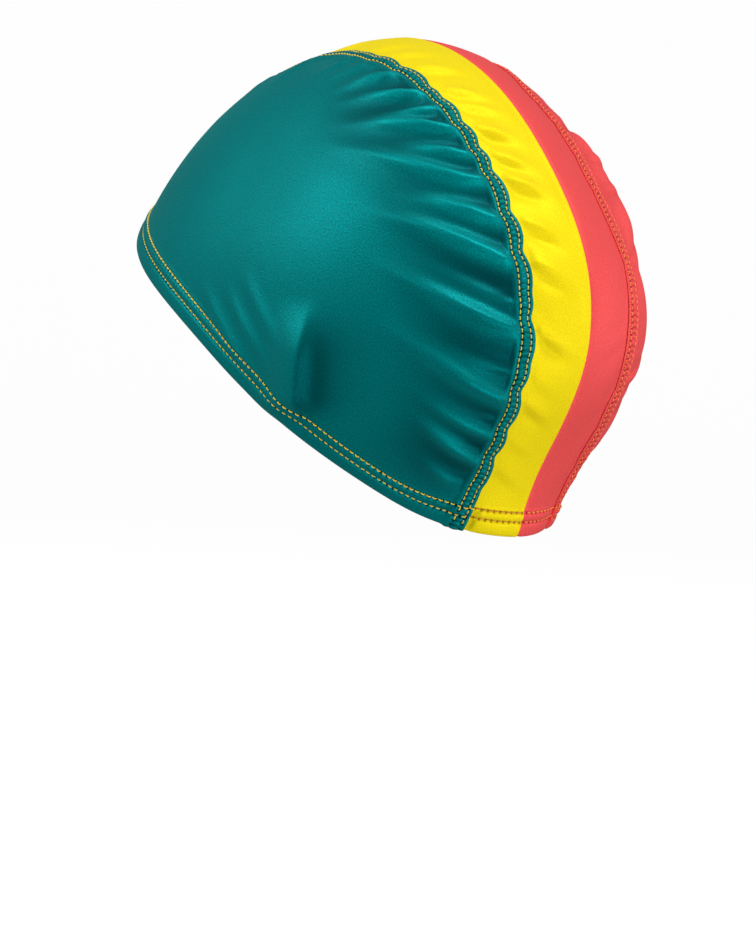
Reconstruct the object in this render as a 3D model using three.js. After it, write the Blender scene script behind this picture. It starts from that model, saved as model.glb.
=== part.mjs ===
// Swim cap of stretch knit in the shape it takes when worn. Millimetres, +Z up, +X the wearer's left,
// -Y the face. The origin is the middle of the head hollow.
// Each piece is a sheet with a wall: a grid of places on the head form, with an outer and an inner skin.
// A place has a turn (degrees round the ear axis: 0 brow, 90 crown, 180 back) and a lean (radians off
// the midline, towards the ear).
import * as THREE from "three";

// Head form, from the origin to the inside of the cloth
const browReach = 104.7;
const backReach = 94;
const halfBreadth = 73.8;
const crownHeight = 99;
const napeDepth = 75;
const profileFullness = 1.86; // exponent of the side outline: 2 is an ellipse
const breadthFullness = 2.11; // exponent of the front outline

// Centre strip, from the midline to the seam with a side panel
const stripAtBrow = 17;
const stripAtCrown = 25.5;
const stripAtBack = 22;
const stripAtNape = 18.2;

// Hem edge, height over the origin
const hemAtBrow = 33;
const hemAtEar = -17.3;
const hemAtNape = -67;

// Cloth and its seams
const cloth = 1;
const clearance = 0.3;
const hemDepth = 9.5;
const hemStep = 1;
const hemPuff = 0.4;
const lapWidth = 7;
const lapSlope = 2;
const tuck = 6;
const edgeRound = 0.4;

// Gathers along the seams
const foldRise = 2.2;
const foldReach = 27;
const seamScallop = 0.8;
const foldFade = 12; // length over which a fold dies out above the hem
const templeTurn = 52; // the folds point to this place at the temple
const templeLean = 44;

// Grid
const panelColumns = 70;
const panelBodyRows = 5;
const stripColumns = 64;

// Swells and hollows of the head form. rise is a share of halfBreadth; angles in degrees.
const swells = [
  { name: "brow", turn: 15, lean: 0, spread: 22, rise: -0.005 },
  { name: "top of the brow", turn: 50, lean: 0, spread: 25, rise: -0.012 },
  { name: "crown", turn: 90, lean: 0, spread: 28, rise: -0.024 },
  { name: "behind the crown", turn: 130, lean: 0, spread: 25, rise: -0.01 },
  { name: "back of the head", turn: 170, lean: 0, spread: 22, rise: 0.076 },
  { name: "nape", turn: 205, lean: 0, spread: 18, rise: 0.011 },
  { name: "neck", turn: 235, lean: 0, spread: 18, rise: 0.28 },
  { name: "side of the crown", turn: 90, lean: 45, spread: 25, rise: -0.072 },
  { name: "side of the back", turn: 180, lean: 45, spread: 25, rise: -0.012 },
  { name: "temple", turn: 0, lean: 45, spread: 25, rise: 0.075 },
  { name: "top of the ear", turn: 186, lean: 64, spread: 7, rise: 0.03 },
  { name: "ear", turn: 208, lean: 59, spread: 7, rise: 0.03 },
  { name: "behind the ear", turn: 200, lean: 51, spread: 6, rise: -0.016 },
];

// Gathers of each side, from brow to nape. at is the turn where a fold meets the seam, width its half
// width in degrees, rise a share of foldRise and reach a share of foldReach.
const leftFolds = [
  { at: 56, width: 3.4, rise: 0.2, reach: 0.5 },
  { at: 67, width: 3.4, rise: 0.35, reach: 0.6 },
  { at: 78, width: 3.4, rise: 0.5, reach: 0.7 },
  { at: 89, width: 3.4, rise: 0.6, reach: 0.8 },
  { at: 99.5, width: 3.2, rise: 0.7, reach: 0.9 },
  { at: 109, width: 3.2, rise: 0.8, reach: 0.9 },
  { at: 121, width: 3.6, rise: 0.9, reach: 1 },
  { at: 131.5, width: 3.4, rise: 0.9, reach: 1.1 },
  { at: 142.5, width: 3.4, rise: 1, reach: 1.1 },
  { at: 152.5, width: 3.2, rise: 0.9, reach: 1 },
  { at: 162, width: 3.2, rise: 1, reach: 1.1 },
  { at: 172, width: 3.2, rise: 1, reach: 1.1 },
  { at: 182, width: 3, rise: 0.9, reach: 1 },
  { at: 189.5, width: 2.6, rise: 0.8, reach: 0.9 },
  { at: 195.5, width: 2.6, rise: 0.9, reach: 1 },
  { at: 203, width: 2.8, rise: 0.9, reach: 1 },
  { at: 211, width: 2.8, rise: 0.7, reach: 0.8 },
];
const rightFolds = [
  { at: 56, width: 3.4, rise: 0.2, reach: 0.5 },
  { at: 67, width: 3.4, rise: 0.35, reach: 0.6 },
  { at: 78, width: 3.4, rise: 0.5, reach: 0.7 },
  { at: 89, width: 3.4, rise: 0.6, reach: 0.8 },
  { at: 100, width: 3.4, rise: 0.8, reach: 0.9 },
  { at: 112, width: 3.8, rise: 1, reach: 1 },
  { at: 121, width: 2.2, rise: 0.7, reach: 0.8 },
  { at: 129, width: 3.4, rise: 1, reach: 1 },
  { at: 139, width: 3.2, rise: 1, reach: 1 },
  { at: 153.5, width: 6, rise: 1.1, reach: 1.1 },
  { at: 176, width: 7.5, rise: 1.3, reach: 1.2 },
  { at: 193, width: 3, rise: 0.8, reach: 0.9 },
  { at: 203, width: 3.6, rise: 0.9, reach: 1 },
  { at: 214, width: 3.4, rise: 0.8, reach: 0.8 },
];

const degree = Math.PI / 180;
const bandRows = [0, hemDepth / 2, hemDepth, hemDepth + hemStep]; // the last is single cloth again
const lapEnd = lapWidth + lapSlope;
const lapLift = cloth + clearance;

const mix = (a, b, share) => a + (b - a) * share;
const clamp = (value) => Math.min(1, Math.max(0, value));
const smooth = (value) => (1 - Math.cos(Math.PI * clamp(value))) / 2;

function fan(turn, lean) {
  const across = Math.cos(lean);
  return new THREE.Vector3(
    Math.sin(lean),
    -Math.cos(turn * degree) * across,
    Math.sin(turn * degree) * across,
  );
}

for (const swell of swells) swell.way = fan(swell.turn, swell.lean * degree);

function turnOf(way) {
  const turn = Math.atan2(way.z, -way.y) / degree;
  return turn < -100 ? turn + 360 : turn;
}

// Distance from the origin to the head form along a unit vector.
function formRadius(way) {
  const depth = way.y < 0 ? browReach : backReach;
  const height = way.z > 0 ? crownHeight : napeDepth;
  const profile =
    Math.abs(way.y / depth) ** profileFullness + Math.abs(way.z / height) ** profileFullness;
  const breadth = Math.abs(way.x / halfBreadth) ** breadthFullness;
  let radius = (profile ** (breadthFullness / profileFullness) + breadth) ** (-1 / breadthFullness);
  for (const swell of swells) {
    const cosine = Math.abs(way.x) * swell.way.x + way.y * swell.way.y + way.z * swell.way.z;
    const fall = (1 - cosine) / (1 - Math.cos(swell.spread * degree));
    radius += swell.rise * halfBreadth * Math.exp(-fall);
  }
  return radius;
}

function onForm(way) {
  const unit = way.clone().normalize();
  return unit.multiplyScalar(formRadius(unit));
}

function formNormal(way) {
  const unit = way.clone().normalize();
  const aside = new THREE.Vector3(-unit.y, unit.x, 0.2).cross(unit).normalize();
  const along = unit.clone().cross(aside);
  const step = 0.01;
  const slope = (tangent) =>
    onForm(unit.clone().addScaledVector(tangent, step)).sub(
      onForm(unit.clone().addScaledVector(tangent, -step)),
    );
  return slope(aside).cross(slope(along)).normalize();
}

// The seam between the strip and a side panel
function stripHalf(turn) {
  if (turn < 75) return mix(stripAtBrow, stripAtCrown, smooth(turn / 75));
  if (turn < 160) return mix(stripAtCrown, stripAtBack, smooth((turn - 75) / 85));
  return mix(stripAtBack, stripAtNape, smooth((turn - 160) / 65));
}

function seamLean(turn) {
  let lean = 0.2;
  for (let pass = 0; pass < 5; pass++) {
    lean = Math.asin(stripHalf(turn) / formRadius(fan(turn, lean)));
  }
  return lean;
}

// Distance along the cloth from the seam, positive on the panel.
function pastSeam(way) {
  const unit = way.clone().normalize();
  return (Math.asin(Math.abs(unit.x)) - seamLean(turnOf(unit))) * formRadius(unit);
}

function leanPast(turn, distance) {
  const lean = seamLean(turn);
  return lean + distance / formRadius(fan(turn, lean));
}

// The hem: its height falls from the brow over the ear to the nape. azimuth is 0 at the brow.
function hemHeight(azimuth) {
  const back = (1 - Math.cos(azimuth)) / 2;
  const side = Math.sin(azimuth) ** 2;
  return mix(hemAtBrow, hemAtNape, back) + side * (hemAtEar - (hemAtBrow + hemAtNape) / 2);
}

function hemPoint(azimuth) {
  const way = new THREE.Vector3(Math.sin(azimuth) * halfBreadth, -Math.cos(azimuth) * halfBreadth, 0);
  let point = onForm(way);
  for (let pass = 0; pass < 24; pass++) {
    way.z += (hemHeight(azimuth) - point.z) * 0.7;
    point = onForm(way);
  }
  return point;
}

// The place a given distance above the hem edge
function aboveHem(azimuth, distance) {
  const point = hemPoint(azimuth);
  const along = hemPoint(azimuth + 0.01).sub(hemPoint(azimuth - 0.01));
  const up = formNormal(point).cross(along).normalize();
  return point.addScaledVector(up, distance).normalize();
}

function hemDistance(point) {
  return point.z - hemHeight(Math.atan2(Math.abs(point.x), -point.y));
}

function solve(gap, low, high) {
  const rising = gap(high) > gap(low);
  for (let pass = 0; pass < 30; pass++) {
    const middle = (low + high) / 2;
    if (gap(middle) > 0 === rising) high = middle;
    else low = middle;
  }
  return (low + high) / 2;
}

// Where a fold through a place starts on the seam: all folds point to the temple.
const temple = fan(templeTurn, templeLean * degree);
const crown = new THREE.Vector3(0, 1, 0.6);
const templeUp = temple.clone().cross(crown).cross(temple).normalize();
const templeSide = temple.clone().cross(templeUp);

function bearing(way) {
  return Math.atan2(way.dot(templeSide), way.dot(templeUp));
}

const seamBearings = [];
for (let turn = 0; turn <= 240; turn += 3) {
  seamBearings.push({ turn, bearing: bearing(fan(turn, seamLean(turn))) });
}
const bearingsRise = seamBearings[40].bearing > seamBearings[20].bearing;

function foldStart(way) {
  const here = bearing(way);
  for (let i = 1; i < seamBearings.length; i++) {
    const before = seamBearings[i - 1];
    const after = seamBearings[i];
    if (before.bearing > here === bearingsRise) return before.turn;
    if (after.bearing > here === bearingsRise) {
      const share = (here - before.bearing) / (after.bearing - before.bearing);
      return mix(before.turn, after.turn, share);
    }
  }
  return 240;
}

function foldHeight(folds, way, distance) {
  const start = foldStart(way);
  let height = 0;
  for (const fold of folds) {
    const aside = (start - fold.at) / fold.width;
    const away = Math.max(0, distance) / (fold.reach * foldReach);
    height += fold.rise * foldRise * Math.exp(-aside * aside - away * away);
  }
  return height * smooth((hemDistance(onForm(way)) - hemDepth) / foldFade);
}

function seamWave(folds, turn) {
  let wave = 0;
  for (const fold of folds) wave += fold.rise * Math.exp(-(((turn - fold.at) / fold.width) ** 2));
  return -seamScallop * wave;
}

// A side panel. Columns run from brow to nape and rows from the hem to the seam.
function panelPlaces(folds) {
  const lapPlaces = [lapWidth / 2, lapWidth, lapEnd];
  const columns = panelColumns + 2 * lapPlaces.length;
  const edgeColumns = lapPlaces.length;

  // Azimuths of the columns on one row of the hem band: lap places by distance, the rest evenly spaced
  const bandAzimuths = (height) => {
    const place = (distance, low, high) =>
      solve((azimuth) => pastSeam(aboveHem(azimuth, height)) - distance, low, high);
    const ends = [0, ...lapPlaces];
    const front = ends.map((distance) => place(distance, 0.05, 1));
    const back = ends.map((distance) => place(distance, Math.PI - 0.05, Math.PI - 1));
    const azimuths = [];
    for (let column = 0; column <= columns; column++) {
      if (column < edgeColumns) azimuths.push(front[column]);
      else if (column > columns - edgeColumns) azimuths.push(back[columns - column]);
      else {
        const share = (column - edgeColumns) / panelColumns;
        azimuths.push(mix(front[edgeColumns], back[edgeColumns], share));
      }
    }
    return azimuths;
  };

  const rows = [];
  for (const height of bandRows) {
    rows.push(bandAzimuths(height).map((azimuth) => aboveHem(azimuth, height)));
  }
  const bandEdge = rows[rows.length - 1];
  const firstTurn = turnOf(bandEdge[0]);
  const lastTurn = turnOf(bandEdge[columns]);
  const seamTurns = bandEdge.map((way, column) => {
    const fromEnd = Math.min(column, columns - column);
    const end = fromEnd < edgeColumns ? [0, ...lapPlaces][fromEnd] : lapEnd;
    const endTurn = end / halfBreadth / degree;
    if (fromEnd < edgeColumns) return column < columns / 2 ? firstTurn + endTurn : lastTurn - endTurn;
    return mix(firstTurn + endTurn, lastTurn - endTurn, (column - edgeColumns) / panelColumns);
  });

  const body = [];
  const squeeze = bandEdge.map((way, column) =>
    clamp(way.angleTo(fan(seamTurns[column], seamLean(seamTurns[column]))) * halfBreadth / (3 * lapEnd)),
  );
  const lapWays = (distance) =>
    bandEdge.map((way, column) => {
      const turn = seamTurns[column];
      const inner = column > 0 && column < columns;
      const edge = distance > 0 ? distance * squeeze[column] : inner ? seamWave(folds, turn) : 0;
      if (!inner) return way.clone();
      return fan(turn, leanPast(turn, edge));
    });
  const lapStart = lapWays(lapEnd);
  for (let row = 1; row <= panelBodyRows; row++) {
    const share = Math.sin((Math.PI / 2) * (row / (panelBodyRows + 1)));
    body.push(
      bandEdge.map((way, column) => {
        const far = lapStart[column];
        const angle = way.angleTo(far);
        if (angle < 1e-6) return way.clone();
        const near = Math.sin((1 - share) * angle) / Math.sin(angle);
        return way
          .clone()
          .multiplyScalar(near)
          .addScaledVector(far, Math.sin(share * angle) / Math.sin(angle))
          .normalize();
      }),
    );
  }
  rows.push(...body, lapStart, lapWays(lapWidth), lapWays(lapWidth / 2), lapWays(0));
  return rows;
}

function panelSkin(folds) {
  return panelPlaces(folds).map((row, level) =>
    row.map((way) => {
      const distance = pastSeam(way);
      const onLap = 1 - clamp((distance - lapWidth) / lapSlope);
      const inBand = level < bandRows.length - 1 ? 1 : 0;
      const lift = lapLift * onLap + foldHeight(folds, way, distance);
      return {
        way,
        inner: lift - cloth * inBand * (1 - onLap),
        outer: lift + cloth + hemPuff * inBand,
      };
    }),
  );
}

// Half of the centre strip. Columns run from brow to nape and rows from the midline under the lap.
function stripSkin() {
  const rowPlaces = [
    { share: 0, puffed: 1 },
    { share: 0.5, puffed: 1 },
    { share: 1, puffed: 0 },
  ];
  const edge = seamScallop + clearance;
  const wayAt = (turn, place) => {
    if (place === "tucked") return fan(turn, leanPast(turn, tuck));
    const least = (clearance / 2 + edgeRound) / formRadius(fan(turn, 0));
    return fan(turn, mix(least, leanPast(turn, -2 * edge), place));
  };
  const turnAbove = (place, distance, low, high) => {
    const gap = (turn) => hemDistance(onForm(wayAt(turn, place)));
    const hem = solve(gap, low, high);
    const towards = high > low ? 1 : -1;
    const arc = onForm(wayAt(hem + 1, place)).distanceTo(onForm(wayAt(hem, place)));
    return hem + (towards * distance) / arc;
  };
  const rows = [...rowPlaces.map((row) => row.share), "tucked"];
  return rows.map((place, row) => {
    const front = bandRows.map((distance) => turnAbove(place, distance, 0, 60));
    const back = bandRows.map((distance) => turnAbove(place, distance, 250, 190));
    const turns = [...front];
    const steps = stripColumns;
    for (let step = 1; step < steps; step++) turns.push(mix(front[3], back[3], step / steps));
    turns.push(...back.reverse());
    const last = turns.length - 1;
    return turns.map((turn, column) => {
      const fromEnd = Math.min(column, last - column);
      const inBand = fromEnd < 3 ? 1 : 0;
      const puffed = row < rowPlaces.length ? rowPlaces[row].puffed : 0;
      return {
        way: wayAt(turn, place),
        inner: -cloth * inBand,
        outer: cloth + hemPuff * inBand * puffed,
      };
    });
  });
}

// Closes a grid of places into a solid: outer skin, inner skin and a rounded rim.
function sheetSolid(grid, side) {
  const skin = grid.map((row) =>
    row.map(({ way, inner, outer }) => {
      const base = onForm(way);
      const normal = formNormal(way);
      const at = (height) => base.clone().addScaledVector(normal, height);
      const spot = { outer: at(outer), inner: at(inner) };
      spot.outer.x *= side;
      spot.inner.x *= side;
      return spot;
    }),
  );
  const points = [];
  const known = new Map();
  const place = (point) => {
    const key = point.toArray().map((value) => Math.round(value * 500)).join(" ");
    if (!known.has(key)) {
      known.set(key, points.length);
      points.push(point);
    }
    return known.get(key);
  };
  const faces = [];
  const triangle = (a, b, c) => {
    if (a === b || b === c || c === a) return;
    faces.push(side > 0 ? [a, b, c] : [a, c, b]);
  };
  const quad = (a, b, c, d) => {
    triangle(a, b, c);
    triangle(a, c, d);
  };
  const outer = skin.map((row) => row.map((spot) => place(spot.outer)));
  const inner = skin.map((row) => row.map((spot) => place(spot.inner)));
  const lastRow = grid.length - 1;
  const lastColumn = grid[0].length - 1;
  for (let r = 0; r < lastRow; r++) {
    for (let c = 0; c < lastColumn; c++) {
      quad(outer[r][c], outer[r][c + 1], outer[r + 1][c + 1], outer[r + 1][c]);
      quad(inner[r][c], inner[r + 1][c], inner[r + 1][c + 1], inner[r][c + 1]);
    }
  }

  const rim = [];
  for (let c = 0; c <= lastColumn; c++) rim.push([0, c]);
  for (let r = 1; r <= lastRow; r++) rim.push([r, lastColumn]);
  for (let c = lastColumn - 1; c >= 0; c--) rim.push([lastRow, c]);
  for (let r = lastRow - 1; r >= 1; r--) rim.push([r, 0]);
  const loop = rim.filter(([r, c], i) => {
    const [br, bc] = rim[(i + rim.length - 1) % rim.length];
    return outer[r][c] !== outer[br][bc];
  });
  const middle = loop.map(([r, c], i) => {
    const [br, bc] = loop[(i + loop.length - 1) % loop.length];
    const [ar, ac] = loop[(i + 1) % loop.length];
    const along = points[outer[ar][ac]].clone().sub(points[outer[br][bc]]);
    const through = points[outer[r][c]].clone().sub(points[inner[r][c]]);
    const outwards = along.cross(through).normalize().multiplyScalar(side * edgeRound);
    const centre = points[outer[r][c]].clone().add(points[inner[r][c]]).multiplyScalar(0.5);
    return place(centre.add(outwards));
  });
  loop.forEach(([r, c], i) => {
    const next = (i + 1) % loop.length;
    const [ar, ac] = loop[next];
    quad(outer[r][c], middle[i], middle[next], outer[ar][ac]);
    quad(middle[i], inner[r][c], inner[ar][ac], middle[next]);
  });

  const geometry = new THREE.BufferGeometry();
  const positions = points.flatMap((point) => point.toArray());
  geometry.setAttribute("position", new THREE.Float32BufferAttribute(positions, 3));
  geometry.setIndex(faces.flat());
  geometry.computeVertexNormals();
  return geometry;
}

function piece(name, geometry, color) {
  const material = new THREE.MeshStandardMaterial({ color, roughness: 0.6, metalness: 0 });
  const mesh = new THREE.Mesh(geometry, material);
  mesh.name = name;
  return mesh;
}

const teal = "#00807f";
const yellow = "#fde819";
const coral = "#fa555a";

// Rows of a strip run away from the midline, so its grid is turned over to face outwards.
const strip = stripSkin().reverse();

const cap = new THREE.Group();
cap.add(
  piece("left_panel", sheetSolid(panelSkin(leftFolds), 1), teal),
  piece("right_panel", sheetSolid(panelSkin(rightFolds), -1), coral),
  piece("yellow_strip", sheetSolid(strip, 1), yellow),
  piece("coral_strip", sheetSolid(strip, -1), coral),
);

export default cap;
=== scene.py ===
# Swim cap in stretch knit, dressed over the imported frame. Sizes are in millimetres until a mesh is made.
# A place on the cap is a unit vector from the middle of the head hollow (a "way"), found from a turn
# (degrees round the ear axis: 0 brow, 90 crown, 180 back) and a lean (radians off the midline).
import math

import bpy
import numpy as np
from mathutils import Matrix, Vector


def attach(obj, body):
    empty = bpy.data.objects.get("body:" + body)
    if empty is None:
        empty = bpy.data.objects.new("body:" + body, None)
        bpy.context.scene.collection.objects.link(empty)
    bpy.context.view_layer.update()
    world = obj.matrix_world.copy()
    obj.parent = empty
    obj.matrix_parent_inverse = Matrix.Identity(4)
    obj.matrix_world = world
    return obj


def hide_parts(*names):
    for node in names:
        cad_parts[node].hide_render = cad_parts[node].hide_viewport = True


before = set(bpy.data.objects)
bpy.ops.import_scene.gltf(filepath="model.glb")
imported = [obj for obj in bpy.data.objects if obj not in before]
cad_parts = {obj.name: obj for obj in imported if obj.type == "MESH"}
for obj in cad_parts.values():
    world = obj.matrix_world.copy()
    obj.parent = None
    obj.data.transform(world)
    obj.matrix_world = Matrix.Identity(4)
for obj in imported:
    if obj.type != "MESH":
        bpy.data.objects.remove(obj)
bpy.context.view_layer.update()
scene = bpy.context.scene
scene.view_settings.view_transform = "Standard"
metre = 0.001  # a millimetre in metres
print("frame loaded:", sorted(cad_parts))

head = {  # inside of the cloth
    "browReach": 104.7,
    "backReach": 94.0,
    "halfBreadth": 73.8,
    "crownHeight": 99.0,
    "napeDepth": 75.0,
    "profileFullness": 1.86,
    "breadthFullness": 2.11,
}
strip = {  # half widths, how far the front is drawn in, the part under the lap, the gap at the middle seam
    "atBrow": 17.0,
    "atCrown": 25.5,
    "atBack": 22.0,
    "atNape": 18.2,
    "browPull": 4.5,
    "tuck": 6.0,
    "gap": -0.03,
}
hem = {  # edge heights, depth of the turned-up cloth and the two stitch rows above the edge
    "atBrow": 33.0,
    "atEar": -17.3,
    "atNape": -67.0,
    "depth": 9.5,
    "step": 1.0,
    "rows": (5.3, 8.7),
    "puff": 0.95,
    "groove": 0.4,
    "pitch": 2.15,
}
lap = {  # the panel's edge over the strip, with its two stitch rows
    "lift": 0.85,
    "width": 4.8,
    "slope": 2.2,
    "rows": (1.2, 4.0),
    "puff": 0.3,
    "groove": 0.3,
    "wave": 1.8,
    "pitch": 1.95,
}
pucker = {  # dents in the strip beside the folds of its panel, and where they are weaker
    "shift": 0.5,
    "slant": 0.3,
    "middle": 6.5,
    "reach": 6.0,
    "depth": 0.5,
    "ripple": 0.14,
    "atNape": 0.35,
    "onCoral": 0.15,
}
alongSeam = 1.6  # millimetres for each degree of turn
cloth = {"wall": 0.7, "round": 0.35, "inset": 0.3}
grid = {"side": 84, "body": 200, "sideShare": 0.24, "lapSteps": 24, "hemSteps": 26}

swells = [  # turn, lean, spread in degrees; rise in millimetres
    (15, 0, 22, -0.4),
    (50, 0, 25, -0.9),
    (90, 0, 28, -1.8),
    (130, 0, 25, -0.7),
    (170, 0, 22, 5.6),
    (205, 0, 18, 0.8),
    (235, 0, 18, 20.7),
    (90, 45, 25, -5.3),
    (180, 45, 25, -0.9),
    (0, 45, 25, 5.5),
]
ear = {  # the ear under the cloth, as a ridge down the side with a hollow behind it
    "back": 36.0,
    "bend": 0.0065,
    "top": 10.0,
    "bottom": -33.0,
    "rise": 4.8,
    "frontReach": 12.0,
    "backReach": 2.6,
    "hollow": 0.7,
    "hollowReach": 7.0,
}
seamPull = {  # how deep the seams are drawn in: both in front, the right one also at the back and beyond it
    "front": 1.9,
    "frontReach": 10.0,
    "rightFront": 0.4,
    "rightBack": 3.2,
    "rightBackReach": 15.0,
    "rightBeyond": 2.0,
}
paintedShadeSettings = {  # painted shade in the fold hollows, painted shadow behind the ear ridge and painted highlight on the fold crests, by the height of the fold that it is on
    "onRight": 0.35,
    "foldHeight": 2.2,
    "reach": 46.0,
    "paintedEarShadow": 0.85,
    "earReach": 12.0,
    "paintedCrestLight": 0.42,
    "darkest": 0.82,
}


# Form of the head


def fan(turn, lean):
    turn, lean = np.broadcast_arrays(np.radians(turn), lean)
    across = np.cos(lean)
    return np.stack([np.sin(lean), -np.cos(turn) * across, np.sin(turn) * across], -1)


def unit(vectors):
    return vectors / np.linalg.norm(vectors, axis=-1, keepdims=True)


bumps = [
    (fan(turn, math.radians(lean)), 1 / (1 - math.cos(math.radians(spread))), rise)
    for turn, lean, spread, rise in swells
]


def turnOf(way):
    turn = np.degrees(np.arctan2(way[..., 2], -way[..., 1]))
    return np.where(turn < -100, turn + 360, turn)


def formRadius(way):
    x, y, z = way[..., 0], way[..., 1], way[..., 2]
    depth = np.where(y < 0, head["browReach"], head["backReach"])
    height = np.where(z > 0, head["crownHeight"], head["napeDepth"])
    p, b = head["profileFullness"], head["breadthFullness"]
    profile = np.abs(y / depth) ** p + np.abs(z / height) ** p
    radius = (profile ** (b / p) + np.abs(x / head["halfBreadth"]) ** b) ** (-1 / b)
    for middle, sharpness, rise in bumps:
        cosine = np.abs(x) * middle[0] + y * middle[1] + z * middle[2]
        radius = radius + rise * np.exp((cosine - 1) * sharpness)
    return radius


def onForm(way):
    way = unit(way)
    return way * formRadius(way)[..., None]


def formNormal(way):
    way = unit(way)
    aside = unit(np.cross(np.stack([-way[..., 1], way[..., 0], 0.2 + 0 * way[..., 0]], -1), way))
    along = np.cross(way, aside)
    step = 0.006
    slopeAside = onForm(way + step * aside) - onForm(way - step * aside)
    slopeAlong = onForm(way + step * along) - onForm(way - step * along)
    return unit(np.cross(slopeAside, slopeAlong))


def smooth(value):
    return (1 - np.cos(np.pi * np.clip(value, 0, 1))) / 2


def stripHalf(turn):
    front = strip["atBrow"] + (strip["atCrown"] - strip["atBrow"]) * smooth(turn / 75)
    back = strip["atCrown"] + (strip["atBack"] - strip["atCrown"]) * smooth((turn - 75) / 85)
    front = front - strip["browPull"] * smooth(turn / 30) * smooth((100 - turn) / 20)
    back = back - strip["browPull"] * smooth((100 - turn) / 20)
    nape = strip["atBack"] + (strip["atNape"] - strip["atBack"]) * smooth((turn - 160) / 65)
    return np.where(turn < 75, front, np.where(turn < 160, back, nape))


def seamLean(turn):
    turn = np.asarray(turn, float)
    lean = 0.2 + 0 * turn
    for _ in range(5):
        lean = np.arcsin(stripHalf(turn) / formRadius(fan(turn, lean)))
    return lean


def leanPast(turn, distance):
    lean = seamLean(turn)
    return lean + distance / formRadius(fan(turn, lean))


def pastSeam(way):
    way = unit(way)
    return (np.arcsin(np.abs(way[..., 0])) - seamLean(turnOf(way))) * formRadius(way)


def hemHeight(azimuth):
    back = (1 - np.cos(azimuth)) / 2
    middle = (hem["atBrow"] + hem["atNape"]) / 2
    ends = hem["atBrow"] * (1 - back) + hem["atNape"] * back
    return ends + np.sin(azimuth) ** 2 * (hem["atEar"] - middle)


def hemPoint(azimuth):
    azimuth = np.asarray(azimuth, float)
    reach = head["halfBreadth"]
    way = np.stack([np.sin(azimuth) * reach, -np.cos(azimuth) * reach, 0 * azimuth], -1)
    for _ in range(30):
        way[..., 2] += (hemHeight(azimuth) - onForm(way)[..., 2]) * 0.7
    return onForm(way)


hemTable = np.linspace(-0.1, math.pi + 0.1, 3000)
hemLine = hemPoint(hemTable)
hemUp = unit(np.cross(formNormal(hemLine), np.gradient(hemLine, axis=0)))


def onTable(value, keys, table):
    return np.stack([np.interp(value, keys, table[:, column]) for column in range(3)], -1)


def aboveHem(azimuth, distance):
    return unit(onTable(azimuth, hemTable, hemLine) + onTable(azimuth, hemTable, hemUp) * distance)


def hemDistance(way):
    point = onForm(way)
    return point[..., 2] - hemHeight(np.arctan2(np.abs(point[..., 0]), -point[..., 1]))


# Folds. Each runs from the seam to its tip through the turns given at its start, half way and at the tip.

leftFolds = [  # turn at the seam, half way and tip; lean at the tip; width and rise in millimetres
    (50, 49, 47, 24, 4.0, 0.4),
    (65, 63, 60, 25, 4.0, 0.6),
    (79, 76, 71, 27, 3.4, 0.9),
    (93.5, 91, 87, 26, 3.0, 0.8),
    (100.5, 97, 92, 27, 3.0, 1.0),
    (109, 104.5, 98, 29, 2.8, 1.8),
    (119, 113, 103, 31, 2.4, 2.2),
    (123.5, 121.5, 116, 30, 2.0, 1.6),
    (131.5, 124, 110, 35, 2.5, 2.8),
    (139, 134.5, 127.5, 31, 2.3, 2.4),
    (145.5, 137, 114.5, 40, 2.9, 3.0),
    (155.5, 149.5, 141.5, 35, 2.9, 2.7),
    (164.5, 154.5, 140.5, 43, 3.0, 2.7),
    (173, 167, 157, 38, 2.2, 0.9),
    (178, 171, 158.5, 44, 3.2, 2.8),
    (187, 184, 180, 36, 2.2, 0.7),
    (193, 186.5, 178, 44, 3.2, 2.7),
    (202, 198.5, 194, 38, 2.6, 1.5),
    (209.5, 205.5, 201, 36, 2.8, 1.6),
    (219, 216, 213.5, 30, 2.8, 1.1),
]
rightFolds = [  # these puff up between creases; width is half the space between two creases
    (44, 43.5, 42, 24, 11.0, 0.3),
    (58, 57, 55, 25, 11.0, 0.4),
    (72, 71, 68, 26, 11.0, 0.5),
    (86, 84, 80, 28, 11.0, 0.6),
    (100, 97, 92, 31, 11.0, 0.8),
    (112.5, 109, 104, 32, 9.0, 1.5),
    (122.5, 120, 117, 26, 5.2, 1.5),
    (131.5, 129, 124, 34, 8.0, 2.1),
    (141, 138, 132, 33, 7.4, 2.0),
    (154.5, 151, 144, 38, 14.0, 2.3),
    (177, 173, 166, 42, 20.0, 3.0),
    (194.5, 191, 186, 33, 7.0, 1.6),
    (204.5, 202, 198, 36, 9.0, 1.7),
    (216.5, 214, 210, 32, 9.2, 1.3),
]
sideFolds = [  # small folds in front of the ear: from (y, z) to (y, z), width, rise
    ((-1, 10), (23, -17), 2.0, 1.0),
    ((6, 16), (27, -9), 2.4, 0.7),
    ((-9, 4), (16, -19), 2.2, 1.0),
    ((-15, 11), (1, -4), 2.2, 0.5),
]
crest = {"depth": 1.35, "round": 0.4, "uphill": 0.75, "downhill": 1.15}


def ridge(offset, width, roundness):
    # A ridge with a narrow round crest and hollow flanks
    return np.exp(-(((np.hypot(offset, roundness) - roundness) / width) ** 1.3))


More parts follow.
